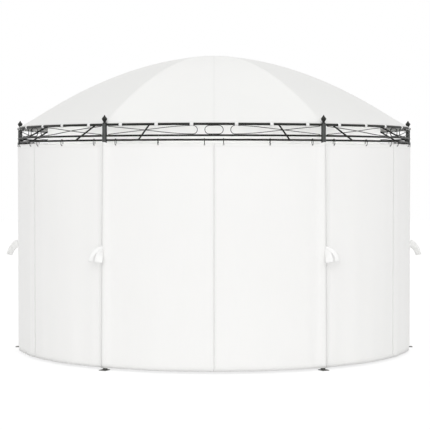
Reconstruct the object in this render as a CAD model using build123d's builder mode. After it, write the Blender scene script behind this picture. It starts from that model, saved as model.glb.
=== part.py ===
"""Round garden gazebo: six steel posts, a ring truss with wire scrolls, arched roof ribs under a
six-gore fabric canopy, and twelve curtain halves hung on loops from the bottom rail.

Millimetres, +Z up. The origin is the centre of the plan at floor level. Posts stand at 0, 60 ...
300 degrees from +X, so the front bay faces -Y.
"""

import os
from math import asin, atan2, cos, degrees, hypot, radians, sin, sqrt

from build123d import *

os.makedirs("parts", exist_ok=True)

# Plan and clearances
BAYS = 6
BAY = 360 / BAYS
RING_R = 1740.0  # centre line of the posts and of the three rails
SEAT = 0.3  # clearance between a piece and what carries it

# Posts, feet and finials
POST_D = 38.0
POST_TOP = 1967.0
FOOT_OUT, FOOT_IN = 48.0, 30.0  # how far the plate reaches outside and inside the post's axis
FOOT_W, FOOT_T = 66.0, 4.0
FOOT_HOLE_D = 9.0
FOOT_HOLE_OFFSET = 34.0
FOOT_CORNER = 8.0
FINIAL_H = 68.0
FINIAL_R = 21.5
FINIAL_WIDEST = 37.0  # height of the bud's widest ring over the post top
FINIAL_NECK_R = 9.0
FINIAL_BASE_R = 15.0

# Ring truss
TOP_RAIL_D, LOW_RAIL_D = 19.0, 15.5
TOP_RAIL_Z, MID_RAIL_Z, LOW_RAIL_Z = 1957.0, 1869.0, 1834.0
WIRE_D = 5.0
OVAL_L = 143.0
LOOP_TIP, LOOP_CROSS, LOOP_END = 130.0, 545.0, 840.0

# Canopy: its outer face falls along a rib from the peak to the hem by a power of the radius
CANOPY_T = 3.0
HEM_R = RING_R - TOP_RAIL_D / 2 - SEAT
HEM_LOW, HEM_HIGH = 1953.0, 1973.0
PEAK_Z = 2613.0
DOME_POWER = 1.87
CROWN_R = 60.0  # flat middle over the hub
GORE_FLAT = 0.88  # how far a gore flattens from the circle towards the straight chord

# Roof frame
RIB_D = 20.0
CREASE_ROOM = 0.4
HUB_R, HUB_H = 62.0, 46.0
HOOP_R, HOOP_D = 540.0, 16.0
STAY_D = 13.0
STAY_ANGLE = 10.0

# Curtains: they hang under the rails and swing out round the posts
CURTAIN_T = 3.0
CURTAIN_TOP, CURTAIN_HEM = 1806.0, 18.0
CURTAIN_GAP = 2.0
POST_ROOM = 1.0  # between a post and the cloth round it
WRAP = 2.2  # degrees each side of a post over which the cloth swings out
SEAM_SHIFT = 1.0  # degrees by which the front and back bays' curtains lap past their posts
HOOK_ANGLES = (2.45, 14.6, 26.6)
HOOK_WIRE = 3.5
HOOK_Z = 1797.0  # middle of the wire where it passes through the cloth
EYELET_D = 8.0

# Canopy ties and curtain straps
TIE_ANGLES = (5.75, 15.0, 25.0)
TIE_W, TIE_T = 28.0, 1.5
TIE_SLACK = 2.0
TIE_SAG = 2.4  # extra room under the rail, where a scroll wire runs inside the strap
STRAP_W, STRAP_T = 58.0, 2.5
STRAP_Z, STRAP_OUT, STRAP_DROP = 938.0, 102.0, 118.0
STRAP_TILT = 21.0  # how much higher the outer corner of its end is
STRAP_SWING = 14.5  # how far the springing ribbon turns away from straight out
CURL_SWING = 60.0  # the same for the ribbon that curls along the curtain
CURL_W = 40.0

# Inner valance
VALANCE_T = 3.0
VALANCE_R = 1480.0
VALANCE_LOW = 1790.0


def radial(angle):
    """Upright plane through the Z axis: local x points outward at the angle, local y points up."""
    a = radians(angle)
    return Plane(origin=(0, 0, 0), x_dir=(cos(a), sin(a), 0), z_dir=(sin(a), -cos(a), 0))


def save(part, label):
    part.label = label
    export_step(part, f"parts/{label}.step")


def turned(part, angle):
    return part.rotate(Axis.Z, angle)


post_angles = [BAY * n for n in range(BAYS)]
bay_angles = [BAY * (n + 0.5) for n in range(BAYS)]

# One post: tube with a welded foot plate that reaches outward, where a peg goes through it
with BuildPart() as post:
    with BuildSketch(Plane.XY):
        with Locations((RING_R + (FOOT_OUT - FOOT_IN) / 2, 0)):
            RectangleRounded(FOOT_OUT + FOOT_IN, FOOT_W, FOOT_CORNER)
        with Locations((RING_R + FOOT_HOLE_OFFSET, 0)):
            Circle(FOOT_HOLE_D / 2, mode=Mode.SUBTRACT)
    extrude(amount=FOOT_T)
    with BuildSketch(Plane.XY):
        with Locations((RING_R, 0)):
            Circle(POST_D / 2)
    extrude(amount=POST_TOP)
for n, angle in enumerate(post_angles, 1):
    save(turned(post.part, angle), f"post_{n}")

# One finial: a turned spear bud that screws down on the post top
with BuildPart() as finial:
    with BuildSketch(Plane.XZ):
        with BuildLine():
            base = Line((0, POST_TOP), (FINIAL_BASE_R, POST_TOP))
            foot = Line(base @ 1, (FINIAL_BASE_R, POST_TOP + 4))
            neck = Line(foot @ 1, (FINIAL_NECK_R, POST_TOP + 9))
            bud = Spline(
                neck @ 1,
                (FINIAL_R, POST_TOP + FINIAL_WIDEST),
                (2.0, POST_TOP + FINIAL_H),
                tangents=((0.3, 1), (-0.35, 1)),
            )
            tip = Line(bud @ 1, (0, POST_TOP + FINIAL_H))
            Line(tip @ 1, base @ 0)
        make_face()
    revolve(axis=Axis.Z)
for n, angle in enumerate(post_angles, 1):
    save(turned(finial.part.moved(Location((RING_R, 0, 0))), angle), f"finial_{n}")

# One truss bay, centred on +X: three rails that butt against the posts, with wire scrolls between the
# upper two. The scrolls are drawn flat, pushed through the bay and trimmed to a thin ring wall.
gap_top = TOP_RAIL_Z - TOP_RAIL_D / 2 - SEAT
gap_low = MID_RAIL_Z + LOW_RAIL_D / 2 + SEAT
gap_mid, gap_h = (gap_top + gap_low) / 2, gap_top - gap_low
bend = (gap_h - WIRE_D) / 2
with BuildPart() as scrolls:
    with BuildSketch(Plane((RING_R * 0.8, 0, gap_mid), x_dir=(0, 1, 0), z_dir=(1, 0, 0))):
        SlotOverall(OVAL_L + WIRE_D, gap_h)
        SlotOverall(OVAL_L - WIRE_D, gap_h - 2 * WIRE_D, mode=Mode.SUBTRACT)
        for side in (1, -1):
            with BuildLine() as loop:
                nose = ThreePointArc(
                    (side * (LOOP_TIP + bend), -bend),
                    (side * LOOP_TIP, 0),
                    (side * (LOOP_TIP + bend), bend),
                )
                for end, sign in ((nose @ 0, -1), (nose @ 1, 1)):
                    Spline(
                        end,
                        (side * LOOP_CROSS, 0),
                        (side * LOOP_END, -sign * bend),
                        tangents=((side, 0), (side, -sign * 0.12)),
                    )
            trace(loop.line, line_width=WIRE_D)
    extrude(amount=RING_R * 0.25)
    Cylinder(RING_R + WIRE_D / 2, 2 * POST_TOP, mode=Mode.INTERSECT)
    Cylinder(RING_R - WIRE_D / 2, 2 * POST_TOP + 1, mode=Mode.SUBTRACT)
    split(bisect_by=Plane.XY.offset(gap_top), keep=Keep.BOTTOM)
    split(bisect_by=Plane.XY.offset(gap_low), keep=Keep.TOP)

rail_arc = BAY - 2 * degrees(asin((POST_D / 2 + SEAT) / RING_R))
with BuildPart() as rails:
    with BuildSketch(radial(-rail_arc / 2)):
        with Locations((RING_R, TOP_RAIL_Z)):
            Circle(TOP_RAIL_D / 2)
        with Locations((RING_R, MID_RAIL_Z), (RING_R, LOW_RAIL_Z)):
            Circle(LOW_RAIL_D / 2)
    revolve(axis=Axis.Z, revolution_arc=rail_arc)
ring_bay = Part() + [rails.part, scrolls.part]
for n, angle in enumerate(bay_angles, 1):
    save(turned(ring_bay, angle), f"ring_bay_{n}")


# The canopy's outer face along a rib is one falling line, and the roof frame is set off below it
def under_canopy(depth, r):
    """Height of the line that lies the given depth below the crease, at radius r from the Z axis."""
    drop = (PEAK_Z - HEM_HIGH) * (r / HEM_R) ** DOME_POWER
    return PEAK_Z - drop - depth * hypot(1, DOME_POWER * drop / r)


rib_depth = CANOPY_T + SEAT + CREASE_ROOM + RIB_D / 2
hoop_depth = rib_depth + RIB_D / 2 + SEAT + HOOP_D / 2

# One arched rib from the post top to the hub
with BuildPart() as rib:
    with BuildLine(Plane.XZ) as rib_line:
        stations = [RING_R * share for share in (1, 0.86, 0.69, 0.52, 0.345, 0.17)] + [HUB_R / 2]
        Spline(*((r, under_canopy(rib_depth, r)) for r in stations))
    with BuildSketch(Plane(rib_line.line @ 0, z_dir=rib_line.line % 0)):
        Circle(RIB_D / 2)
    sweep()
    with Locations((RING_R, 0)):
        Cylinder(POST_D / 2 + SEAT, 3 * POST_TOP, mode=Mode.SUBTRACT)
    Cylinder(HUB_R + SEAT, 3 * POST_TOP, mode=Mode.SUBTRACT)
for n, angle in enumerate(post_angles, 1):
    save(turned(rib.part, angle), f"roof_rib_{n}")

# Hub: a turned cup that the six ribs butt against, under the flat crown of the canopy
crown_z = under_canopy(0, CROWN_R)
hub_top = crown_z - CANOPY_T - SEAT - CREASE_ROOM
with BuildPart() as hub:
    with BuildSketch(Plane.XY.offset(hub_top - HUB_H)):
        Circle(HUB_R)
    extrude(amount=HUB_H)
    with BuildSketch(Plane.XY.offset(hub_top - HUB_H)):
        Circle(HUB_R - 5)
    extrude(amount=HUB_H - 6, mode=Mode.SUBTRACT)
    fillet(hub.faces().sort_by(Axis.Z)[-1].edges(), 3)
save(hub.part, "roof_hub")

# Hoop under the ribs, or under the middles of the gores where they come lower, and the twelve stays
# that reach it from the bottom rail
gore_waist = 1 - GORE_FLAT * (1 - cos(radians(BAY / 2)))  # a flat gore's middle radius over its corners'
hoop_z = min(
    under_canopy(hoop_depth, HOOP_R),
    under_canopy((CANOPY_T + SEAT + HOOP_D / 2) / gore_waist, HOOP_R / gore_waist),
)
with BuildPart() as hoop:
    with BuildSketch(Plane.XZ):
        with Locations((HOOP_R, hoop_z)):
            Circle(HOOP_D / 2)
    revolve(axis=Axis.Z)
save(hoop.part, "roof_hoop")

stay_run, stay_rise = RING_R - HOOP_R, hoop_z - LOW_RAIL_Z
stay_length = hypot(stay_run, stay_rise)
stay_slope = degrees(atan2(stay_rise, stay_run))
stay_start = LOW_RAIL_D / 2 + SEAT
foot = Plane(
    origin=(
        RING_R - stay_start * cos(radians(stay_slope)),
        0,
        LOW_RAIL_Z + stay_start * sin(radians(stay_slope)),
    ),
    z_dir=(-stay_run, 0, stay_rise),
)
with BuildPart() as stay:
    with BuildSketch(foot):
        Circle(STAY_D / 2)
    extrude(amount=stay_length - stay_start - HOOP_D / 2 - SEAT)
stay_angles = [a + side * STAY_ANGLE for a in post_angles for side in (-1, 1)]
save(Part() + [turned(stay.part, a) for a in stay_angles], "roof_stays")


# Canopy: six gores between the rib lines. Each level is a ring of six arcs that starts as the full
# circle at the hem and flattens towards the crown, so a crease runs up every rib.
def gore_ring(r, z):
    flat = GORE_FLAT * (1 - min(1, r / HEM_R) ** 4)
    middle = r * (1 - flat * (1 - cos(radians(BAY / 2))))
    with BuildSketch(Plane.XY.offset(z)) as ring:
        with BuildLine():
            for a in post_angles:
                corner, mid, nxt = (
                    (rr * cos(radians(b)), rr * sin(radians(b)))
                    for rr, b in ((r, a), (middle, a + BAY / 2), (r, a + BAY))
                )
                ThreePointArc(corner, mid, nxt)
        make_face()
    return ring.sketch


levels = [HEM_R * share for share in (0.925, 0.81, 0.665, 0.52, 0.375, 0.23, 0.115)] + [CROWN_R]
with BuildPart() as canopy:
    loft([gore_ring(HEM_R, HEM_HIGH)] + [gore_ring(r, under_canopy(0, r)) for r in levels])
    inner = [(r - CANOPY_T * 0.5, under_canopy(CANOPY_T, r - CANOPY_T * 0.5)) for r in levels]
    inner[-1] = (CROWN_R, crown_z - CANOPY_T)
    loft(
        [gore_ring(HEM_R - CANOPY_T, HEM_HIGH - 0.5)] + [gore_ring(r, z) for r, z in inner],
        mode=Mode.SUBTRACT,
    )
    with BuildSketch(Plane.XY.offset(HEM_LOW)):
        Circle(HEM_R)
        Circle(HEM_R - CANOPY_T, mode=Mode.SUBTRACT)
    extrude(amount=HEM_HIGH - HEM_LOW)
    with PolarLocations(RING_R, BAYS):
        Cylinder(POST_D / 2 + SEAT, 3 * POST_TOP, mode=Mode.SUBTRACT)
save(canopy.part, "canopy")

# Curtains: two panels a bay, each a sheet with three eyelets along its top edge. A panel follows the
# rails from mid-bay, swings out round the post and is cut at its seam.
half_gap = degrees(CURTAIN_GAP / 2 / RING_R)
post_reach = POST_D / 2 + POST_ROOM + CURTAIN_T / 2
eyelet_z = HOOK_Z + HOOK_WIRE / 2 - sqrt((EYELET_D / 2 - SEAT) ** 2 - (HOOK_WIRE / 2) ** 2)


def curtain_panel(seam_angle):
    """The panel on the side of growing angles of a bay centred on +X, up to its seam."""
    at_post, end = radians(BAY / 2), radians(BAY / 2 + WRAP)
    with BuildPart() as panel:
        with BuildSketch(Plane.XY.offset(CURTAIN_HEM)):
            with BuildLine() as plan:
                under_rail = CenterArc((0, 0), RING_R, half_gap, BAY / 2 - WRAP - half_gap)
                Spline(
                    under_rail @ 1,
                    ((RING_R + post_reach) * cos(at_post), (RING_R + post_reach) * sin(at_post)),
                    (RING_R * cos(end), RING_R * sin(end)),
                    tangents=(under_rail % 1, (-sin(end), cos(end))),
                )
            trace(plan.line, line_width=CURTAIN_T)
        extrude(amount=CURTAIN_TOP - CURTAIN_HEM)
        cut = radians(seam_angle - half_gap)
        split(bisect_by=Plane((0, 0, 0), z_dir=(-sin(cut), cos(cut), 0)), keep=Keep.BOTTOM)
        for a in HOOK_ANGLES:
            outward = (cos(radians(a)), sin(radians(a)), 0)
            with BuildSketch(Plane((0, 0, eyelet_z), z_dir=outward).offset(RING_R - 10)):
                Circle(EYELET_D / 2)
            extrude(amount=20, mode=Mode.SUBTRACT)
    return panel.part


def seam_at(bay_angle, side):
    """Angle from mid-bay of the seam on one side: the side posts' seams are on the posts' axes."""
    if abs(sin(radians(bay_angle + side * BAY / 2))) < 0.1:
        return BAY / 2
    return BAY / 2 + (SEAM_SHIFT if abs(cos(radians(bay_angle))) < 0.1 else -SEAM_SHIFT)


for n, angle in enumerate(bay_angles, 1):
    later = curtain_panel(seam_at(angle, 1))
    earlier = mirror(curtain_panel(seam_at(angle, -1)), Plane.XZ)
    save(Part() + [turned(later, angle), turned(earlier, angle)], f"curtain_{n}")

# Curtain hooks: closed loops that hang over the bottom rail and pass through the eyelets
hook_reach = LOW_RAIL_D / 2 + SEAT
hook_centres = LOW_RAIL_Z - HOOK_Z - hook_reach - HOOK_WIRE / 2
with BuildPart() as hook:
    with BuildSketch(radial(0)):
        for across, mode in ((hook_reach + HOOK_WIRE, Mode.ADD), (hook_reach, Mode.SUBTRACT)):
            with BuildSketch(mode=Mode.PRIVATE) as outline:
                with Locations((RING_R, LOW_RAIL_Z), (RING_R, LOW_RAIL_Z - hook_centres)):
                    RegularPolygon(across, 8, major_radius=False, rotation=22.5)
                make_hull()
            add(outline.sketch, mode=mode)
    extrude(amount=HOOK_WIRE / 2, both=True)
hook_angles = [b + side * a for b in bay_angles for a in HOOK_ANGLES for side in (1, -1)]
save(Part() + [turned(hook.part, a) for a in hook_angles], "curtain_hooks")

# Canopy ties: straps that run from inside the hem, under and round the top rail, back to the hem
tie_r = (TOP_RAIL_D / 2 + TIE_SLACK + TIE_T / 2) / cos(radians(22.5))
with BuildPart() as tie:
    round_rail = [
        (RING_R + tie_r * cos(radians(a)), TOP_RAIL_Z - sag + tie_r * sin(radians(a)))
        for a, sag in (
            *((a, TIE_SLACK - SEAT) for a in (112.5, 67.5, 22.5)),
            *((a, TIE_SLACK + TIE_SAG) for a in (-22.5, -67.5, -112.5)),
        )
    ]
    inside_r = HEM_R - CANOPY_T - SEAT - TIE_T / 2
    with BuildSketch(radial(0)):
        with BuildLine() as tie_line:
            Polyline(
                (HEM_R + SEAT + 0.2, round_rail[0][1]),
                *round_rail,
                (inside_r, HEM_LOW - 6),
                (inside_r, HEM_LOW + 12),
            )
        trace(tie_line.line, line_width=TIE_T)
    extrude(amount=TIE_W / 2, both=True)
tie_angles = [b + side * a for b in bay_angles for a in TIE_ANGLES for side in (1, -1)]
save(Part() + [turned(tie.part, a) for a in tie_angles], "canopy_ties")

# Tie-back straps: at each post one ribbon springs outward and droops, and one curls along the curtain
strap_r = RING_R + post_reach + CURTAIN_T / 2 + SEAT
spring_out = radial(STRAP_SWING)
spring_out.origin = (strap_r + STRAP_T / 2 * sin(radians(STRAP_SWING)), 0, STRAP_Z)
curl_out = radial(CURL_SWING)
curl_out.origin = (strap_r, 0, STRAP_Z)
with BuildPart() as straps:
    with BuildSketch(spring_out):
        with BuildLine():
            root = Line((0, -STRAP_W / 2), (0, STRAP_W / 2))
            upper = Spline(
                root @ 1,
                (STRAP_OUT, STRAP_TILT - STRAP_DROP),
                tangents=((1, 0.1), (0.1, -1)),
            )
            end = Line(upper @ 1, (STRAP_OUT - 44, -STRAP_DROP))
            Spline(end @ 1, root @ 0, tangents=((-0.3, 1), (-1, 0.1)))
        make_face()
    extrude(amount=STRAP_T / 2, both=True)
    with BuildSketch(curl_out):
        with BuildLine() as curl:
            Spline((0, 62), (55, 42), (103, -17), (99, -65), tangents=((1, 0.05), (-0.15, -1)))
        trace(curl.line, line_width=STRAP_T)
    extrude(amount=CURL_W)
mirrored = mirror(straps.part, Plane.XZ)
for n, angle in enumerate(post_angles, 1):
    pair = straps.part if cos(radians(angle)) > 0 else mirrored
    save(turned(pair, angle), f"tieback_straps_{n}")

# Inner valance: a fabric band that hangs under the stays, behind the truss
valance_top = (
    LOW_RAIL_Z
    + (RING_R - VALANCE_R - VALANCE_T) * stay_rise / stay_run
    - STAY_D / 2 / cos(radians(stay_slope))
    - SEAT
)
with BuildPart() as valance:
    with BuildSketch(radial(half_gap)):
        with Locations((VALANCE_R + VALANCE_T / 2, (valance_top + VALANCE_LOW) / 2)):
            Rectangle(VALANCE_T, valance_top - VALANCE_LOW)
    revolve(axis=Axis.Z, revolution_arc=BAY - 2 * half_gap)
save(Part() + [turned(valance.part, a) for a in post_angles], "inner_valance")
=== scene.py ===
from math import atan2, cos, degrees, hypot, pi, radians, sin, sqrt

import bmesh
import bpy
import numpy as np
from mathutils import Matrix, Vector


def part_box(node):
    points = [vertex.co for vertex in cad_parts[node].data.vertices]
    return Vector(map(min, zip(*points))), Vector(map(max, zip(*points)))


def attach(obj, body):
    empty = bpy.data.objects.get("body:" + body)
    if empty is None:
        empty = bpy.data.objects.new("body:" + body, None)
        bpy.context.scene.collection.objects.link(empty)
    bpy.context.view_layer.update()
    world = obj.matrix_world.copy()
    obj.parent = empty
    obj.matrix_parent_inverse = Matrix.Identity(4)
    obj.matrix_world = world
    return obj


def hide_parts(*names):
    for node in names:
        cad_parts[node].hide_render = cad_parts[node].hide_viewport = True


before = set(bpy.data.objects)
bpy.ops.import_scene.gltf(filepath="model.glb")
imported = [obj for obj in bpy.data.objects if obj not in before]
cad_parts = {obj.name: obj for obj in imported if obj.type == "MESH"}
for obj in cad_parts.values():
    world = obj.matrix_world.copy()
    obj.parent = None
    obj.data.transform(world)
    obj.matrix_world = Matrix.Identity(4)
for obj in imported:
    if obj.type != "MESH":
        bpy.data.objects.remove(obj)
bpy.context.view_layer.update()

# Posts: six round steel tubes, each welded to a flat foot plate that is pegged down outside the
# tube, powder coated charcoal like all the steelwork. The coat is a fine orange-peel skin with a
# little dust.


class Wire:
    """A socket of a node tree that takes part in sums like a number."""

    def __init__(self, graph, socket):
        self.graph, self.socket = graph, socket

    def sum_node(self, operation, *values):
        return self.graph.node("ShaderNodeMath", {"operation": operation}, dict(enumerate(values)))

    def __add__(self, other):
        return self.sum_node("ADD", self, other)

    def __sub__(self, other):
        return self.sum_node("SUBTRACT", self, other)

    def __rsub__(self, other):
        return self.sum_node("SUBTRACT", other, self)

    def __mul__(self, other):
        return self.sum_node("MULTIPLY", self, other)

    def __truediv__(self, other):
        return self.sum_node("DIVIDE", self, other)

    def __mod__(self, other):
        return self.sum_node("FLOORED_MODULO", self, other)

    def __lt__(self, other):
        return self.sum_node("LESS_THAN", self, other)

    def __gt__(self, other):
        return self.sum_node("GREATER_THAN", self, other)

    def __abs__(self):
        return self.sum_node("ABSOLUTE", self)

    __radd__, __rmul__ = __add__, __mul__

    def sine(self):
        return self.sum_node("SINE", self)

    def clamped(self):
        return self.graph.node("ShaderNodeClamp", {}, {"Value": self})


class Graph:
    """A node tree, put together one node at a time."""

    def __init__(self, tree):
        self.tree = tree
        tree.nodes.clear()

    def node(self, kind, settings=None, sockets=None, out=0):
        """Adds a node: first its settings, a ramp's stops among them, then its sockets."""
        made = self.tree.nodes.new(kind)
        for name, value in (settings or {}).items():
            if name == "stops":
                ramp = made.color_ramp.elements
                while len(ramp) < len(value):
                    ramp.new(0.5)
                for stop, (position, tone) in zip(ramp, value):
                    stop.position, stop.color = position, (*([tone] * 3), 1)
            else:
                setattr(made, name, value)
        for key, value in (sockets or {}).items():
            if isinstance(value, Wire):
                self.tree.links.new(value.socket, made.inputs[key])
            else:
                made.inputs[key].default_value = value
        return Wire(self, made.outputs[out])


class Finish(Graph):
    """A material: its patterns are wires, and its surface is one principled shader."""

    def __init__(self, name):
        self.material = bpy.data.materials.new(name)
        self.material.use_nodes = True
        super().__init__(self.material.node_tree)

    def noise(self, at, scale, detail=2.0, roughness=0.5):
        sizes = {"Vector": at, "Scale": scale, "Detail": detail, "Roughness": roughness}
        return self.node("ShaderNodeTexNoise", {}, sizes)

    def axis(self, vector, name):
        return self.node("ShaderNodeSeparateXYZ", {}, {"Vector": vector}, name)

    def stored(self, name):
        """A number that the piece's mesh stores at each point."""
        return self.node("ShaderNodeAttribute", {"attribute_name": name}, {}, "Fac")

    def blend(self, share, first, second):
        sockets = {0: share, 6: first, 7: second}
        return self.node("ShaderNodeMix", {"data_type": "RGBA"}, sockets, 2)

    def surface(self, colour, roughness, height_mm, through=0.0, **fixed):
        """Ends the tree. The bump's height is in millimetres, through is the share of the light
        that cloth lets pass, and fixed holds plain shader values."""
        normal = self.node("ShaderNodeBump", {}, {"Distance": 0.001, "Height": height_mm})
        values = {"Base Color": colour, "Roughness": roughness, "Normal": normal}
        values.update({name.replace("_", " "): value for name, value in fixed.items()})
        shader = self.node("ShaderNodeBsdfPrincipled", {}, values)
        if through:
            lit = {"Color": colour, "Normal": normal}
            passing = self.node("ShaderNodeBsdfTranslucent", {}, lit)
            shader = self.node("ShaderNodeMixShader", {}, {0: through, 1: shader, 2: passing})
        self.node_output(shader)
        return self.material

    def node_output(self, shader):
        """Makes the shader the material's surface."""
        output = self.tree.nodes.new("ShaderNodeOutputMaterial")
        self.tree.links.new(shader.socket, output.inputs["Surface"])


coat = Finish("charcoal_powder_coat")
place = coat.node("ShaderNodeTexCoord", out="Object")
facing_up = coat.axis(coat.node("ShaderNodeNewGeometry", out="Normal"), "Z").clamped()
tone = coat.noise(place, 7.0, 3.0)
splash = ((0.16 - coat.axis(place, "Z")) * 5.0).clamped() * coat.noise(place, 60.0, 4.0)
dust = (facing_up * coat.noise(place, 25.0, 3.0) * 0.2 + splash * 0.5).clamped()
charcoal = coat.blend(tone, (0.018, 0.0215, 0.0185, 1), (0.028, 0.032, 0.028, 1))
charcoal_coat = coat.surface(
    coat.blend(dust, charcoal, (0.2, 0.19, 0.17, 1)),
    0.3 + tone * 0.1 + dust * 0.35,
    coat.noise(place, 480.0, 2.0) * 0.12 + coat.noise(place, 130.0) * 0.08,
    Specular_IOR_Level=0.75,
)


def finished(name, material):
    """Gives a CAD piece that keeps its own shape its finish."""
    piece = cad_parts[name]
    piece.data.materials.clear()
    piece.data.materials.append(material)


bays = range(1, 7)
for n in bays:
    finished(f"post_{n}", charcoal_coat)

# Ring truss: three bent rails a bay with wire scrolls welded between the upper two, and a turned
# spear bud screwed on each post. They carry the same coat, a little darker and worn browner.
wire_coat = Finish("scroll_coat")
place = wire_coat.node("ShaderNodeTexCoord", out="Object")
tone = wire_coat.noise(place, 14.0, 3.0)
facing_up = wire_coat.axis(wire_coat.node("ShaderNodeNewGeometry", out="Normal"), "Z").clamped()
dust = (facing_up * wire_coat.noise(place, 30.0, 3.0) * 0.22).clamped()
rubbed = wire_coat.blend(tone, (0.008, 0.01, 0.0085, 1), (0.018, 0.0185, 0.016, 1))
rail_coat = wire_coat.surface(
    wire_coat.blend(dust, rubbed, (0.2, 0.19, 0.17, 1)),
    0.38 + tone * 0.16 + dust * 0.3,
    wire_coat.noise(place, 480.0, 2.0) * 0.12 + wire_coat.noise(place, 90.0) * 0.06,
    Specular_IOR_Level=0.22,
)
for n in bays:
    finished(f"ring_bay_{n}", rail_coat)
    finished(f"finial_{n}", rail_coat)

# Roof frame: six arched ribs butt against a hub cup under the crown, a hoop ties them together, and
# two straight stays a post run up to it from the bottom rail. All are round steel in the same coat.
for name in [f"roof_rib_{n}" for n in bays] + ["roof_hub", "roof_hoop", "roof_stays"]:
    finished(name, rail_coat)

# Canopy: six gores of coated polyester sewn edge to edge and stretched over the ribs into one
# dome. Felled seams run up each rib and up the middle of each gore, and a doubled hem stands inside
# the rail. The side gores carry painted shade: their cloth colour is made darker, as shade from the
# front light would make it.
RING_R, POST_R, POST_ROOM = 1.740, 0.019, 0.0016
HEM_R, HEM_LOW, HEM_HIGH = 1.7302, 1.953, 1.973
HEM_DROP = 0.020
PEAK_Z, DOME_POWER = 2.613, 1.87
GORE_FLAT = 0.88
CANOPY_T = 0.0014
SEAM_W, MID_SEAM_W, FOLD_W = 0.013, 0.0078, 0.032
STITCH, THREAD_R = 0.0042, 0.0007
TIE_TURNS = (5.75, 15.0, 25.0)


def crease_height(r):
    """Height of the cloth over a rib, at a radius from the middle."""
    return PEAK_Z - (PEAK_Z - HEM_HIGH) * (r / HEM_R) ** DOME_POWER


def gore_radius(r, turn):
    """Radius of a gore's level arc at an angle from the gore's middle. Its corners are at r."""
    flat = GORE_FLAT * (1 - min(1.0, r / HEM_R) ** 4)
    middle = r * (1 - flat * (1 - cos(radians(30))))
    if r < 1e-6 or flat < 1e-6:
        return r
    centre = (r * r - middle * middle) / (2 * (r * cos(radians(30)) - middle))
    reach = middle - centre
    a = radians(turn)
    return centre * cos(a) + sqrt(reach * reach - (centre * sin(a)) ** 2)


def store(mesh, numbers):
    """Keeps lists of numbers, one for each point, as named attributes that a finish can read."""
    for label, values in numbers.items():
        attribute = mesh.attributes.new(label, "FLOAT", "POINT")
        attribute.data.foreach_set("value", np.array(values, np.float32))


def linked(name, data):
    """A new object of the scene with a mesh, light or camera."""
    piece = bpy.data.objects.new(name, data)
    bpy.context.scene.collection.objects.link(piece)
    return piece


def sheet_mesh(name, points, faces, material, stored):
    """A smooth mesh object from points and faces, with numbers stored at its points."""
    mesh = bpy.data.meshes.new(name)
    mesh.from_pydata([tuple(p) for p in points], [], faces)
    mesh.materials.append(material)
    store(mesh, stored)
    mesh.polygons.foreach_set("use_smooth", [True] * len(mesh.polygons))
    mesh.update()
    return linked(name, mesh)


def ring_faces(levels, around):
    """The faces between closed rings of points that lie one over another."""
    faces = []
    for low in range(0, (levels - 1) * around, around):
        for i in range(around):
            ahead = (i + 1) % around
            faces.append((low + i, low + ahead, low + around + ahead, low + around + i))
    return faces


def faces_out(piece, from_point):
    """Turns the faces of a sheet so that they point away from a point inside it."""
    work = bmesh.new()
    work.from_mesh(piece.data)
    bmesh.ops.recalc_face_normals(work, faces=work.faces)
    outward = 0
    for face in work.faces:
        outward += face.normal.dot(face.calc_center_median() - from_point) * face.calc_area()
    if outward < 0:
        bmesh.ops.reverse_faces(work, faces=work.faces)
    work.to_mesh(piece.data)
    work.free()


def walled(piece, thickness, offset):
    """Gives a sheet its thickness. An offset of -1 grows it inward, and 0 both ways."""
    wall = piece.modifiers.new("wall", "SOLIDIFY")
    wall.thickness, wall.offset, wall.use_even_offset = thickness, offset, True
    wall.use_quality_normals = True


def cloth_weave(across, along, pitch):
    """Threads over and under, as a height from 0 to 1."""
    turns = 2 * pi / pitch
    over = (across * turns).sine() * (along * turns).sine()
    return over * 0.5 + 0.5


def within(width, distance):
    """1 where a distance is less than a width, as on a seam or hem, and 0 elsewhere."""
    return ((width - distance) * 900.0).clamped()


def stitch_row(distance, along, inset):
    """1 on the thread of a row of stitches that runs at an inset from an edge, and 0 elsewhere."""
    return (abs(distance - inset) < THREAD_R) * ((along % STITCH) < STITCH * 0.62)


cover = Finish("coated_polyester")
place = cover.node("ShaderNodeTexCoord", out="Object")
rib_m, mid_m, hem_m = (cover.stored(name) for name in ("rib_m", "mid_m", "hem_m"))
weave = cloth_weave(rib_m, hem_m, 0.0021)
stitches = (
    stitch_row(rib_m, hem_m, SEAM_W - 0.002)
    + stitch_row(mid_m, hem_m, MID_SEAM_W - 0.0016)
    + stitch_row(hem_m, rib_m, FOLD_W - 0.004)
).clamped()
seams = within(SEAM_W, rib_m) + within(MID_SEAM_W, mid_m)
doubled = (seams + within(FOLD_W, hem_m)).clamped()
cloudy = cover.noise(place, 2.6, 3.0) * 0.6 + cover.noise(place, 38.0, 2.0) * 0.4
cloth = cover.blend(cloudy, (0.893, 0.893, 0.88, 1), (0.923, 0.923, 0.908, 1))
# Painted shade: the side gores are blended towards a darker cloth colour, fading out at their ribs.
cloth = cover.blend(cover.stored("cross_cut"), cloth, (0.85, 0.85, 0.837, 1))
cloth = cover.blend(doubled * 0.4, cloth, (0.87, 0.87, 0.855, 1))
coated_polyester = cover.surface(
    cover.blend(stitches * 0.4, cloth, (0.76, 0.76, 0.745, 1)),
    0.58 + cloudy * 0.14 - doubled * 0.05,
    weave * 0.05 + doubled * 0.55 + stitches * 0.25 + cover.noise(place, 9.0, 3.0) * 0.8,
    through=0.1,
    Sheen_Weight=0.12,
    Sheen_Roughness=0.5,
    Specular_IOR_Level=0.3,
)

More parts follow.
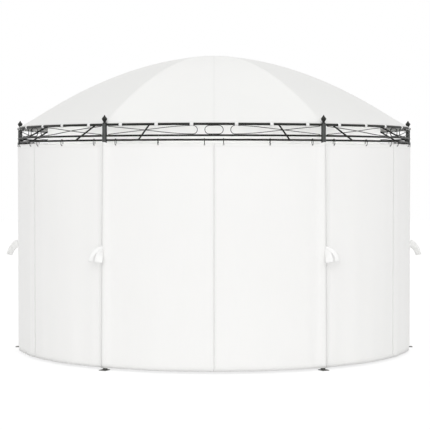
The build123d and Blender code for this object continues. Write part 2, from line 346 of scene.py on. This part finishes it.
# Angles of one gore from its middle, closer at the rib so that the hem bends round the post
near_rib = [30.0, 29.9, 29.75, 29.6, 29.45, 29.3, 29.1, 28.8, 28.4, 27.8, 27.0]
half_turns = near_rib + [27.0 - 1.5 * k for k in range(1, 18)]
turns = [-a for a in half_turns] + [0.0] + half_turns[::-1]
radii = [HEM_R, HEM_R - 0.006, HEM_R - 0.013, HEM_R - 0.022, HEM_R - 0.036, HEM_R - 0.056]
radii += [HEM_R - 0.056 - 0.0355 * k for k in range(1, 47)]
lengths = [HEM_DROP]
for a, b in zip(radii, radii[1:]):
    lengths.append(lengths[-1] + hypot(b - a, crease_height(b) - crease_height(a)))
points, stored = [], {"rib_m": [], "mid_m": [], "hem_m": [], "cross_cut": []}
FRONT_AND_BACK = (1, 4)


def canopy_ring(r, z, hem_length, flattened=True):
    """Adds the points of one level. Its six gores are flattened arcs, but for the round hem."""
    for gore in range(6):
        for turn in turns[:-1]:
            reach = gore_radius(r, turn) if flattened else r
            angle = radians(60 * gore + 30 + turn)
            points.append([reach * cos(angle), reach * sin(angle), z])
            stored["rib_m"].append(reach * radians(30 - abs(turn)))
            stored["mid_m"].append(reach * radians(abs(turn)))
            stored["hem_m"].append(hem_length)
            # How much painted shade a point gets: none on the front and back gores, full on the
            # side gores but for their ribs.
            from_rib = min(1.0, (30 - abs(turn)) / 0.5)
            stored["cross_cut"].append(0.0 if gore in FRONT_AND_BACK else from_rib)


for drop in (0.020, 0.015, 0.010, 0.005):
    canopy_ring(HEM_R, HEM_HIGH - drop, HEM_DROP - drop, False)
for r, hem_length in zip(radii, lengths):
    canopy_ring(r, crease_height(r), hem_length)
crown_r = radii[-1]
for share in (0.66, 0.33):
    r = crown_r * share
    canopy_ring(r, crease_height(r), lengths[-1] + crown_r * (1 - share))
points.append([0, 0, PEAK_Z])
at_peak = {"rib_m": 0.1, "mid_m": 0.1, "hem_m": lengths[-1] + crown_r, "cross_cut": 0.5}
for name, value in at_peak.items():
    stored[name].append(value)
around = 6 * (len(turns) - 1)
levels = (len(points) - 1) // around
faces = ring_faces(levels, around)
last = (levels - 1) * around
faces += [(last + i, last + (i + 1) % around, len(points) - 1) for i in range(around)]

# The hem is drawn in a little at every tie, and the corners go inside the posts
for i, p in enumerate(points):
    rib_d, hem_d = stored["rib_m"][i], stored["hem_m"][i]
    angle, r = degrees(atan2(p[1], p[0])) % 60, hypot(p[0], p[1])
    if r < 0.02:
        continue
    from_tie = min(abs(angle - 30 - side * a) for a in TIE_TURNS for side in (-1, 1)) * pi / 180 * r
    pull = -0.0022 * np.exp(-((from_tie / 0.03) ** 2) - (hem_d / 0.09) ** 2)
    fading = np.exp(-((from_tie / 0.09) ** 2) - (hem_d / 0.12) ** 2)
    ripple = 0.0009 * sin(from_tie * 2 * pi / 0.055) * fading
    slack = -0.005 * sin(pi * min(1.0, hem_d / 1.1)) * min(1.0, rib_d / 0.25) ** 2
    scale = (r + pull + ripple) / r
    p[0], p[1], p[2] = p[0] * scale, p[1] * scale, p[2] + slack
    post = radians(60 * (round(degrees(atan2(p[1], p[0])) / 60) % 6))
    c, s = cos(post), sin(post)
    out, side = p[0] * c + p[1] * s, -p[0] * s + p[1] * c
    room = POST_R + POST_ROOM
    if abs(side) < room and out > RING_R - sqrt(room * room - side * side):
        out = RING_R - sqrt(room * room - side * side)
        p[0], p[1] = out * c - side * s, out * s + side * c
canopy = sheet_mesh("canopy_cover", points, faces, coated_polyester, stored)
faces_out(canopy, Vector((0, 0, 1.2)))
walled(canopy, CANOPY_T, -1)
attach(canopy, "root")
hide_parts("canopy")

# Canopy ties: webbing straps sewn inside the hem that loop under and over the top rail, six to a
# bay. Each is one flat strip bent round the rail, made once as a swept path and set round the ring.
TOP_RAIL_R, TOP_RAIL_Z = 0.0095, 1.957
TIE_W, TIE_T, TIE_ROOM = 0.028, 0.0013, 0.0012
TURN_NAMES = ("Near turn", "Middle turn", "Far turn")

webbing = Finish("white_webbing")
place = webbing.node("ShaderNodeTexCoord", out="Object")
cords = (webbing.stored("across_m") * (2 * pi / 0.0031)).sine() * 0.5 + 0.5
picks = (webbing.stored("along_m") * (2 * pi / 0.0018)).sine() * 0.5 + 0.5
grime = webbing.noise(place, 22.0, 3.0)
white_webbing = webbing.surface(
    webbing.blend(cords * 0.5 + grime * 0.5, (0.885, 0.885, 0.876, 1), (0.94, 0.94, 0.932, 1)),
    0.62 + grime * 0.16,
    cords * 0.35 + picks * cords * 0.15,
    Sheen_Weight=0.15,
    Sheen_Roughness=0.5,
    Specular_IOR_Level=0.3,
)


def grown(name, base, sizes, material, build):
    """Runs a geometry tree on a base mesh and keeps what it makes as a plain mesh.

    sizes become the tree's named inputs, and build gets the tree, the base and a wire for each.
    """
    tree = bpy.data.node_groups.new(name, "GeometryNodeTree")
    graph = Graph(tree)
    tree.interface.new_socket("Base", in_out="INPUT", socket_type="NodeSocketGeometry")
    tree.interface.new_socket("Made", in_out="OUTPUT", socket_type="NodeSocketGeometry")
    number = {"in_out": "INPUT", "socket_type": "NodeSocketFloat"}
    keys = {label: tree.interface.new_socket(label, **number).identifier for label in sizes}
    inlet = graph.node("NodeGroupInput")
    wires = {label: Wire(graph, inlet.socket.node.outputs[label]) for label in sizes}
    shape = build(graph, Wire(graph, inlet.socket.node.outputs["Base"]), wires)
    whole = graph.node("GeometryNodeRealizeInstances", {}, {"Geometry": shape})
    coated = graph.node("GeometryNodeSetMaterial", {}, {"Geometry": whole, "Material": material})
    tree.links.new(coated.socket, tree.nodes.new("NodeGroupOutput").inputs["Made"])
    growth = base.modifiers.new(name, "NODES")
    growth.node_group = tree
    for label, value in sizes.items():
        growth[keys[label]] = value
    view = bpy.context.evaluated_depsgraph_get()
    made = bpy.data.meshes.new_from_object(base.evaluated_get(view), depsgraph=view)
    base.modifiers.remove(growth)
    made.name = base.data.name
    base.data = made
    made.polygons.foreach_set("use_smooth", [True] * len(made.polygons))
    if not made.materials:
        made.materials.append(material)
    return base


def six_a_bay(graph, wires, piece):
    """Sets a piece at three angles each side of the middle of every bay."""
    index = graph.node("GeometryNodeInputIndex")
    step = index % 6.0
    bay = (index - step) / 6.0
    side = (step > 2.5) * 2.0 - 1.0
    rank = abs(step - 2.5)
    near, far = rank < 1.0, rank > 2.0
    shares = zip(TURN_NAMES, (near, 1.0 - near - far, far))
    turn = sum(wires[name] * share for name, share in shares)
    angle = (bay * 60.0 + 30.0 + side * turn) * (pi / 180)
    seats = graph.node("GeometryNodePoints", {}, {"Count": 36})
    spin = graph.node("ShaderNodeCombineXYZ", {}, {"Z": angle})
    turned = graph.node("FunctionNodeEulerToRotation", {}, {"Euler": spin})
    copies = {"Points": seats, "Instance": piece, "Rotation": turned}
    return graph.node("GeometryNodeInstanceOnPoints", {}, copies)


def flat_strip(graph, base, wires):
    """Sweeps a flat section along the base's path."""
    path = graph.node("GeometryNodeMeshToCurve", {}, {"Mesh": base})
    sides = {"Width": wires["Thickness"], "Height": wires["Width"]}
    section = graph.node("GeometryNodeCurvePrimitiveQuadrilateral", {}, sides)
    swept = {"Curve": path, "Profile Curve": section, "Fill Caps": True}
    return graph.node("GeometryNodeCurveToMesh", {}, swept)


def tied_strips(graph, base, wires):
    """The flat strip, set along the ring at each of the turns."""
    return six_a_bay(graph, wires, flat_strip(graph, base, wires))


inside_r = HEM_R - CANOPY_T - 0.0009
loop_r = TOP_RAIL_R + TIE_ROOM + TIE_T / 2
tie_path = [(inside_r, HEM_LOW + 0.013), (inside_r, HEM_LOW - 0.002)]
for turn in range(-140, 111, 10):
    a = radians(turn)
    sag = 0.003 * sin(-a) ** 2 * (turn < 0)
    tie_path.append((RING_R + loop_r * cos(a), TOP_RAIL_Z - sag + loop_r * sin(a)))
tie_path += [(HEM_R + 0.0012, TOP_RAIL_Z + loop_r + rise) for rise in (0.0006, 0.004)]
ties = linked("canopy_ties_sewn", bpy.data.meshes.new("canopy_ties_sewn"))
steps = [(i, i + 1) for i in range(len(tie_path) - 1)]
ties.data.from_pydata([(r, 0, z) for r, z in tie_path], steps, [])
tie_sizes = {"Thickness": TIE_T, "Width": TIE_W, **dict(zip(TURN_NAMES, TIE_TURNS))}
grown("ties_round_rail", ties, tie_sizes, white_webbing, tied_strips)
across, along = [], []
for v in ties.data.vertices:
    angle, r = degrees(atan2(v.co.y, v.co.x)) % 60, hypot(v.co.x, v.co.y)
    turn = min((30 + side * a for a in TIE_TURNS for side in (-1, 1)), key=lambda t: abs(t - angle))
    across.append(radians(angle - turn) * r)
    along.append(atan2(v.co.z - TOP_RAIL_Z, r - RING_R) * loop_r)
store(ties.data, {"across_m": across, "along_m": along})
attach(ties, "root")
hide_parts("canopy_ties")

# Curtain hooks: closed loops of round wire that hang from the bottom rail and pass through the
# curtain's eyelets. The satin coat is rubbed through a little where the loop slides.
LOW_RAIL_R, LOW_RAIL_Z = 0.00775, 1.834
HOOK_Z = 1.797
HOOK_WIRE, HOOK_TURNS = 0.0052, (2.45, 14.6, 26.6)

hooks_coat = Finish("hook_coat")
place = hooks_coat.node("ShaderNodeTexCoord", out="Object")
rubs = {"stops": ((0.55, 0.0), (0.72, 1.0))}
worn = hooks_coat.node("ShaderNodeValToRGB", rubs, {"Fac": hooks_coat.noise(place, 160.0, 3.0)})
hook_coat = hooks_coat.surface(
    hooks_coat.blend(worn, (0.007, 0.009, 0.0075, 1), (0.022, 0.023, 0.021, 1)),
    0.36 + hooks_coat.noise(place, 90.0) * 0.14,
    hooks_coat.noise(place, 500.0) * 0.06,
    Metallic=0.2,
)
bend_r = LOW_RAIL_R + 0.0003 + HOOK_WIRE / 2


def ring_curve(graph, resolution, radius):
    """A circle with as many points as resolution says."""
    sizes = {"Resolution": resolution, "Radius": radius}
    return graph.node("GeometryNodeCurvePrimitiveCircle", {}, sizes)


def hanging_loop(graph, base, wires):
    """A ring of wire round the rail, drawn down towards the eyelet."""
    ring = ring_curve(graph, 20, wires["Bend radius"])
    at = graph.node("GeometryNodeInputPosition")
    ahead = graph.node("ShaderNodeSeparateXYZ", {}, {"Vector": at}) > 0.0001
    drawn = graph.node("ShaderNodeCombineXYZ", {}, {"X": ahead * wires["Draw"]})
    loop = graph.node("GeometryNodeSetPosition", {}, {"Geometry": ring, "Offset": drawn})
    section = ring_curve(graph, 8, wires["Wire"] * 0.5)
    tube = graph.node("GeometryNodeCurveToMesh", {}, {"Curve": loop, "Profile Curve": section})
    stood = {
        "Geometry": tube,
        "Translation": (RING_R, 0, LOW_RAIL_Z),
        "Rotation": (pi / 2, pi / 2, 0),
    }
    return six_a_bay(graph, wires, graph.node("GeometryNodeTransform", {}, stood))


hooks = linked("curtain_loop_hooks", bpy.data.meshes.new("curtain_loop_hooks"))
hook_turns = dict(zip(TURN_NAMES, HOOK_TURNS))
draw = LOW_RAIL_Z - HOOK_Z - bend_r
hook_sizes = {"Bend radius": bend_r, "Draw": draw, "Wire": HOOK_WIRE, **hook_turns}
grown("hooks_round_rail", hooks, hook_sizes, hook_coat, hanging_loop)
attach(hooks, "root")
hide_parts("curtain_hooks")

# Eyelets: pressed metal rings that line the holes along each curtain's top hem, one for every hook.
EYELET_HOLE, EYELET_RIM, EYELET_Z = 0.0042, 0.0072, 1.7951

eyelet_metal = Finish("pressed_eyelet")
place = eyelet_metal.node("ShaderNodeTexCoord", out="Object")
dull = eyelet_metal.noise(place, 120.0, 3.0)
pressed_eyelet = eyelet_metal.surface(
    eyelet_metal.blend(dull, (0.42, 0.42, 0.41, 1), (0.58, 0.58, 0.57, 1)),
    0.3 + dull * 0.2,
    dull * 0.03,
    Metallic=0.9,
)


def pressed_ring(graph, base, wires):
    """A flattened ring that stands in the curtain, with its hole facing outward."""
    middle = (wires["Rim"] + wires["Hole"]) * 0.5
    ring = ring_curve(graph, 16, middle)
    section = ring_curve(graph, 6, (wires["Rim"] - wires["Hole"]) * 0.5)
    tube = graph.node("GeometryNodeCurveToMesh", {}, {"Curve": ring, "Profile Curve": section})
    stood = {
        "Geometry": tube,
        "Translation": (RING_R, 0, EYELET_Z),
        "Rotation": (0, pi / 2, 0),
        "Scale": (1, 1, 0.95),
    }
    return six_a_bay(graph, wires, graph.node("GeometryNodeTransform", {}, stood))


eyelets = linked("curtain_eyelets", bpy.data.meshes.new("curtain_eyelets"))
eyelet_sizes = {"Hole": EYELET_HOLE, "Rim": EYELET_RIM, **hook_turns}
grown("eyelets_in_hem", eyelets, eyelet_sizes, pressed_eyelet, pressed_ring)
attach(eyelets, "root")

# Curtains: two panels of woven polyester a bay, hung from the hooks under the rails. Each is one
# sheet with sewn hems that hangs in long, almost flat waves, swings out round the post and meets
# its neighbour there. The front and back panels lap further at the foot than at the top.
CURTAIN_TOP, CURTAIN_LOW = 1.806, 0.018
CURTAIN_T = 0.0014
MID_GAP, POST_GAP = 0.0005, 0.0016
POST_REACH, WRAP_M = 0.0215, 0.0668
LAP_TOP, LAP_FOOT = 0.0085, 0.033
PATCH = 0.0068  # half the square of mesh that holds an eyelet's hole
ROUND_HOLE = 0.0053  # the ring of mesh between that square and the hole
POST_LIFT, HEADING_LIFT = 0.014, 0.012  # how far the top hem stands up by a post and over hooks
TURNED_IN = 0.012  # cloth turned in at a panel's edges, which its flat size includes
SIDE_HEM, TOP_HEM, FOOT_HEM, HEM_STITCH = 0.018, 0.026, 0.036, 0.0025

drop_cloth = Finish("curtain_polyester")
place = drop_cloth.node("ShaderNodeTexCoord", out="Object")
edge_m, across_m, up_m = (drop_cloth.stored(name) for name in ("edge_m", "across_m", "up_m"))
top_m = (CURTAIN_TOP - CURTAIN_LOW) - up_m
weave = cloth_weave(across_m, up_m, 0.0019)
drawn_out = {"Vector": place, "Scale": (1, 1, 0.07)}
stretched = drop_cloth.node("ShaderNodeMapping", {"vector_type": "POINT"}, drawn_out)
slubs = drop_cloth.noise(stretched, 95.0, 2.0)
hems = (within(SIDE_HEM, edge_m) + within(TOP_HEM, top_m) + within(FOOT_HEM, up_m)).clamped()
stitches = (
    stitch_row(edge_m, up_m, SIDE_HEM - HEM_STITCH)
    + stitch_row(top_m, across_m, TOP_HEM - HEM_STITCH)
    + stitch_row(up_m, across_m, FOOT_HEM - HEM_STITCH)
).clamped()
cloudy = drop_cloth.noise(place, 2.2, 2.0)
mottle = cloudy * 0.6 + slubs * 0.4
cloth = drop_cloth.blend(mottle, (0.898, 0.895, 0.884, 1), (0.93, 0.927, 0.916, 1))
cloth = drop_cloth.blend(hems * 0.25, cloth, (0.865, 0.865, 0.85, 1))
curtain_polyester = drop_cloth.surface(
    drop_cloth.blend(stitches * 0.6, cloth, (0.76, 0.76, 0.745, 1)),
    0.66 + cloudy * 0.12,
    weave * 0.05 + slubs * 0.12 + hems * 0.45 + stitches * 0.22,
    through=0.07,
    Sheen_Weight=0.15,
    Sheen_Roughness=0.5,
    Specular_IOR_Level=0.25,
)


def with_lines(low, high, step, spots, reach):
    """Grid lines from low to high about a step apart, with five lines across every spot."""
    count = round((high - low) / step)
    lines = {round(low + (high - low) * k / count, 6) for k in range(count + 1)}
    lines = {x for x in lines if x in (low, high) or all(abs(x - s) > reach * 1.35 for s in spots)}
    return sorted(lines | {round(s + reach * k / 2, 6) for s in spots for k in range(-2, 3)})


def curtain_half(bay, side, rng):
    """One panel, and the size that it is cut to. Columns count from mid-bay to the post, and rows
    from the hem up. lap is -1, 0 or 1: how the panel's edge lies at its post. The heading stands a
    little higher over the hooks in the side bays than in the front and back ones."""
    start = degrees(MID_GAP / 2 / RING_R)
    to_post = RING_R * radians(30) - MID_GAP / 2
    width = to_post - POST_GAP / 2
    spots = [RING_R * radians(a - start) for a in HOOK_TURNS]
    height, hook_up = CURTAIN_TOP - CURTAIN_LOW, EYELET_Z - CURTAIN_LOW
    columns = with_lines(0.0, width, 0.0165, spots, PATCH)
    rows = with_lines(0.0, height, 0.03, [hook_up], PATCH)
    flat = [[x, y] for y in rows for x in columns]
    row = rows.index(round(hook_up - PATCH, 6))
    holes = [(columns.index(round(s - PATCH, 6)), row, s) for s in spots]
    skipped = {(c + i, r + j) for c, r, _ in holes for i in range(4) for j in range(4)}
    wide = len(columns)
    faces = [
        (r * wide + c, r * wide + c + 1, (r + 1) * wide + c + 1, (r + 1) * wide + c)
        for r in range(len(rows) - 1)
        for c in range(wide - 1)
        if (c, r) not in skipped
    ]
    walk = [(i, 0) for i in range(4)] + [(4, j) for j in range(4)]
    walk += [(4 - i, 4 - j) for i, j in walk]
    for c, r, spot in holes:
        outer = [(r + j) * wide + c + i for i, j in walk]
        for hole_r in (ROUND_HOLE, EYELET_HOLE + 0.0002):
            inner = []
            for i, j in walk:
                a = atan2(j - 2, i - 2)
                inner.append(len(flat))
                flat.append([spot + hole_r * cos(a), hook_up + hole_r * sin(a)])
            pairs = [(k, (k + 1) % 16) for k in range(16)]
            faces += [(outer[a], outer[b], inner[b], inner[a]) for a, b in pairs]
            outer = inner
    x, y = np.array(flat).T
    depth = 1 - y / height
    post_angle = radians(60 * bay - 30 + 30 * side)
    lap = 0 if abs(sin(post_angle)) < 0.1 else (1 if bay in (2, 5) else -1)
    last_hook = spots[-1] + 0.0075
    overlap = lap * (LAP_TOP + (LAP_FOOT - LAP_TOP) * depth)
    x = x + overlap * np.clip((x - last_hook) / (width - last_hook), 0, 1)
    edge = width + overlap
    far = np.minimum(x, edge - x)
    share = x / edge
    amount = 0.0008 + 0.0024 * depth
    phases, bows = rng.random(3), rng.uniform(-0.5, 0.5, 3)
    waves = sum(
        size * np.sin(2 * pi * (n * share + phase) + bow * depth)
        for size, n, phase, bow in zip((1.0, 0.7, 0.45), (1.5, 2.5, 4.0), phases, bows)
    )
    held = np.clip(np.minimum(x, to_post - WRAP_M - x) / 0.10, 0, 1)
    held = held * held * (3 - 2 * held)
    out = amount * waves * held + 0.0022 * held * depth
    for spot in spots:
        pinch = np.exp(-(((x - spot) / 0.02) ** 2)) * np.exp(-((height - y) / 0.10))
        out = out - 0.0012 * pinch * held
    near_post = np.clip(1 - abs(to_post - x) / WRAP_M, 0, 1)
    near_post = near_post * near_post * (3 - 2 * near_post)
    out = out + POST_REACH * near_post
    ends = sorted([0.0, *spots, width])
    sag = np.zeros_like(x)
    for a, b in zip(ends, ends[1:]):
        inside = (x >= a) & (x <= b)
        t = np.clip((x[inside] - a) / (b - a), 0, 1)
        sag[inside] = 4 * t * (1 - t) * min(1.0, (b - a) / 0.3)
    from_hook = np.min([abs(x - s) for s in spots], 0)
    sag *= 0.0035 * np.exp(-((height - y) / 0.12)) * np.clip(from_hook / 0.02, 0, 1)
    sag -= POST_LIFT * near_post * np.exp(-((height - y) / 0.06))
    if bay not in (2, 5):
        heading = 1.0 if lap == 0 else np.clip(1.4 - x / 0.35, 0, 1)
        sag -= HEADING_LIFT * heading * (1 - near_post) * (y > hook_up + PATCH + 0.0002)
    reach = RING_R + out
    turn = np.radians(60 * bay - 30) + side * (np.radians(start) + x / RING_R)
    hung = np.stack([reach * np.cos(turn), reach * np.sin(turn), CURTAIN_LOW + y - sag], 1)
    panel = sheet_mesh(
        f"curtain_{bay}_{'left' if side < 0 else 'right'}",
        hung,
        faces,
        curtain_polyester,
        {"edge_m": far, "across_m": x, "up_m": y},
    )
    faces_out(panel, Vector((0, 0, 0.9)))
    walled(panel, CURTAIN_T, 0)
    return panel, (round(float(edge.mean()) + TURNED_IN, 3), round(height, 3))


rng = np.random.default_rng(7)
for bay in bays:
    for side in (-1, 1):
        panel, cut = curtain_half(bay, side, rng)
        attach(panel, "root")
        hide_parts(f"curtain_{bay}")

# Tie-back straps: two ribbons sewn in each post seam at waist height and left undone. The stiff one
# springs outward and droops, and the softer one curls away beside it along the curtain.
STRAP_Z, STRAP_T = 0.938, 0.0012
STRAP_W, STRAP_CUP = 0.064, 0.008
CURL_W, CURL_CUP = 0.042, 0.005


def ribbon(name, centre, width, cross, cup, steps=22, ways=8):
    """A strip about a smooth centre line, and its length. cross gives the direction of its width,
    and cup hollows its face."""
    points, along, across = [], [], []
    line = [centre(k / steps) for k in range(steps + 1)]
    gone = 0.0
    for k, at in enumerate(line):
        if k:
            gone += (at - line[k - 1]).length
        ahead = (line[min(k + 1, steps)] - line[max(k - 1, 0)]).normalized()
        sideways = cross(k / steps)
        sideways = (sideways - ahead * sideways.dot(ahead)).normalized()
        face = ahead.cross(sideways)
        for j in range(ways + 1):
            t = j / ways - 0.5
            points.append(at + sideways * (t * width) + face * (cup * (0.25 - t * t)))
            along.append(gone)
            across.append(t * width)
    row = ways + 1
    corners = [k * row + j for k in range(steps) for j in range(ways)]
    faces = [(i, i + 1, i + row + 1, i + row) for i in corners]
    made = sheet_mesh(name, points, faces, white_webbing, {"along_m": along, "across_m": across})
    walled(made, STRAP_T, 0)
    return made, gone


def curve(a, b, c, d):
    """A smooth line that leaves a towards b and reaches d from c."""

    def at(t):
        u = 1 - t
        return a * u**3 + b * (3 * t * u**2) + c * (3 * t * t * u) + d * t**3

    return at


for n in bays:
    post = radians(60 * (n - 1))
    hand = 1 if cos(post) > 0 else -1
    out = Vector((cos(post), sin(post), 0))
    beside = Vector((-sin(post), cos(post), 0)) * hand
    up = Vector((0, 0, 1))
    at_side = abs(sin(post)) < 0.1
    proud = POST_REACH + CURTAIN_T / 2 + STRAP_T / 2 + 0.0003
    root = out * (RING_R + proud) + up * STRAP_Z
    droop = 0.106 if at_side else 0.072
    stiff = curve(
        root,
        root + out * 0.032 - up * (0.010 if at_side else -0.004),
        root + out * 0.066 - beside * 0.004 - up * droop * (0.5 if at_side else 0.35),
        root + out * 0.078 - beside * 0.007 - up * droop,
    )
    end_edge = out * 0.68 + beside * (-0.73 if at_side else 0.73)

    def leaning(t, up=up, last=end_edge):
        return up * cos(1.29 * t) + last * sin(1.29 * t)

    spring, length = ribbon(f"tieback_spring_{n}", stiff, STRAP_W, leaning, STRAP_CUP)
    away = out * 0.97 + beside * 0.24 if at_side else out * 0.72 + beside * 0.69
    soft_root = root + beside * 0.003 + up * (0.006 if at_side else 0.032)
    far_edge = (out * 0.565 - beside * 0.82) * (1 if at_side else -1)
    curl_line = curve(
        soft_root,
        soft_root + away * 0.040 - up * (0.012 if at_side else -0.004),
        soft_root + away * (0.060 if at_side else 0.100) - up * (0.05 if at_side else 0.028),
        soft_root + away * (0.070 if at_side else 0.100) - up * (0.096 if at_side else 0.102),
    )
    last_edge = far_edge if at_side else out * 0.5 + beside * 0.866

    def turning(t, up=up, first=far_edge, last=last_edge):
        edge = first * (sin(min(1.5, 2.6 * t)) * cos(0.7 * t * t)) + last * sin(0.7 * t * t)
        return up * cos(1.15 * t) + edge

    curl, drop = ribbon(f"tieback_curl_{n}", curl_line, CURL_W, turning, CURL_CUP)
    for piece, wide, cut in ((spring, STRAP_W, length), (curl, CURL_W, drop)):
        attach(piece, "root")
        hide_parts(f"tieback_straps_{n}")

# Inner valance: a band of curtain cloth tied under the stays, which closes the truss from inside.
VALANCE_R, VALANCE_T, VALANCE_HEM = 1.4815, 0.0014, 0.02
VALANCE_LOW, VALANCE_HIGH = [corner[2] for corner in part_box("inner_valance")]
VALANCE_H = VALANCE_HIGH - VALANCE_LOW

band_cloth = Finish("valance_polyester")
place = band_cloth.node("ShaderNodeTexCoord", out="Object")
along_m, up_m = band_cloth.stored("along_m"), band_cloth.stored("up_m")
weave = cloth_weave(along_m, up_m, 0.0019)
cloudy = band_cloth.noise(place, 3.0, 2.0)
top_hem = ((up_m - (VALANCE_H - VALANCE_HEM)) * 900.0).clamped()
hems = (within(VALANCE_HEM, up_m) + top_hem).clamped()
valance_polyester = band_cloth.surface(
    band_cloth.blend(cloudy * 0.6 + hems * 0.4, (0.9, 0.9, 0.887, 1), (0.87, 0.87, 0.855, 1)),
    0.66 + cloudy * 0.12,
    weave * 0.05 + hems * 0.45 + band_cloth.noise(place, 40.0) * 0.15,
    through=0.1,
    Sheen_Weight=0.15,
    Sheen_Roughness=0.5,
    Specular_IOR_Level=0.25,
)
points, along, ups = [], [], []
round_steps, band_rows = 432, 10
for j in range(band_rows + 1):
    for i in range(round_steps):
        a, share = 2 * pi * i / round_steps, j / band_rows
        wave = 0.0045 * sin(36 * a + 0.7 * sin(5 * a)) * (1 - share) + 0.0012 * sin(72 * a)
        reach = VALANCE_R + wave
        points.append((reach * cos(a), reach * sin(a), VALANCE_LOW + VALANCE_H * share))
        along.append(VALANCE_R * a)
        ups.append(VALANCE_H * share)
faces = ring_faces(band_rows + 1, round_steps)
stored = {"along_m": along, "up_m": ups}
valance = sheet_mesh("inner_valance_band", points, faces, valance_polyester, stored)
faces_out(valance, Vector((0, 0, 1.88)))
walled(valance, VALANCE_T, 0)
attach(valance, "root")
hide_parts("inner_valance")

# Studio: a pale floor that keeps a soft shadow, white surroundings, a broad lamp in front with a
# weaker one at its right, and three lamps that light only the valance behind the truss.
FLOOR_HALF, WORLD_LEVEL = 30.0, 0.885


def seen_straight(graph):
    """1 for what the camera sees, also mirrored or through the cloth, and 0 for other light."""
    kinds = ("Is Camera Ray", "Is Glossy Ray", "Is Transmission Ray")
    seen, mirrored, through = (graph.node("ShaderNodeLightPath", out=kind) for kind in kinds)
    return (seen + mirrored + through).clamped()


floor_mesh = bpy.data.meshes.new("floor")
plan = ((-1, -1), (1, -1), (1, 1), (-1, 1))
floor_mesh.from_pydata([(x * FLOOR_HALF, y * FLOOR_HALF, 0) for x, y in plan], [], [(0, 1, 2, 3)])
floor = linked("floor", floor_mesh)
ground = Finish("studio_floor")
place = ground.node("ShaderNodeTexCoord", out="Object")
grain = ground.blend(ground.noise(place, 3.0), (0.80, 0.80, 0.80, 1), (0.84, 0.84, 0.84, 1))
paint = {"Base Color": grain, "Roughness": 0.9, "Specular IOR Level": 0.1}
matt = ground.node("ShaderNodeBsdfPrincipled", {}, paint)
glow = ground.node("ShaderNodeEmission", {}, {"Strength": 1.12})
shares = {0: seen_straight(ground) * 0.72, 1: matt, 2: glow}
ground.node_output(ground.node("ShaderNodeMixShader", {}, shares))
floor_mesh.materials.append(ground.material)

world = bpy.data.worlds.new("studio")
world.use_nodes = True
bpy.context.scene.world = world
air = Graph(world.node_tree)
white, soft = (
    air.node("ShaderNodeBackground", {}, {"Color": (1, 1, 1, 1), "Strength": level})
    for level in (1.0, WORLD_LEVEL)
)
both = air.node("ShaderNodeMixShader", {}, {0: seen_straight(air), 1: soft, 2: white})
sky = world.node_tree.nodes.new("ShaderNodeOutputWorld")
world.node_tree.links.new(both.socket, sky.inputs["Surface"])


def lamp(name, level, azimuth, elevation, spread, lit=None):
    """A distant soft lamp. A level of 1 lights a white wall that faces it to white, and lit is the
    one piece that a lamp is for."""
    light = bpy.data.lights.new(name, "SUN")
    light.energy, light.angle = level * pi, radians(spread)
    holder = linked(name, light)
    holder.rotation_euler = (radians(90 - elevation), 0, radians(azimuth + 90))
    if lit:
        only = bpy.data.collections.new(name)
        only.objects.link(lit)
        holder.light_linking.receiver_collection = only
        holder.light_linking.blocker_collection = only


lamp("front_lamp", 0.22, -96, 20, 40)
lamp("fill_lamp", 0.06, -50, 45, 60)
for turn in (-90, 30, 150):
    lamp(f"band_lamp_{turn % 360}", 0.74, turn, 0, 30, valance)

# Camera: eye height, square to the front bay, a long lens tilted down by a hair.
camera_data = bpy.data.cameras.new("camera")
camera_data.lens, camera_data.sensor_width = 122.1, 36.0
camera_data.shift_x = 0.0022
camera = linked("camera", camera_data)
camera.location = (0, -13.11, 1.626)
camera.rotation_euler = (pi / 2 - 0.0333, 0, 0)
bpy.context.scene.camera = camera
bpy.context.scene.view_settings.view_transform = "Standard"
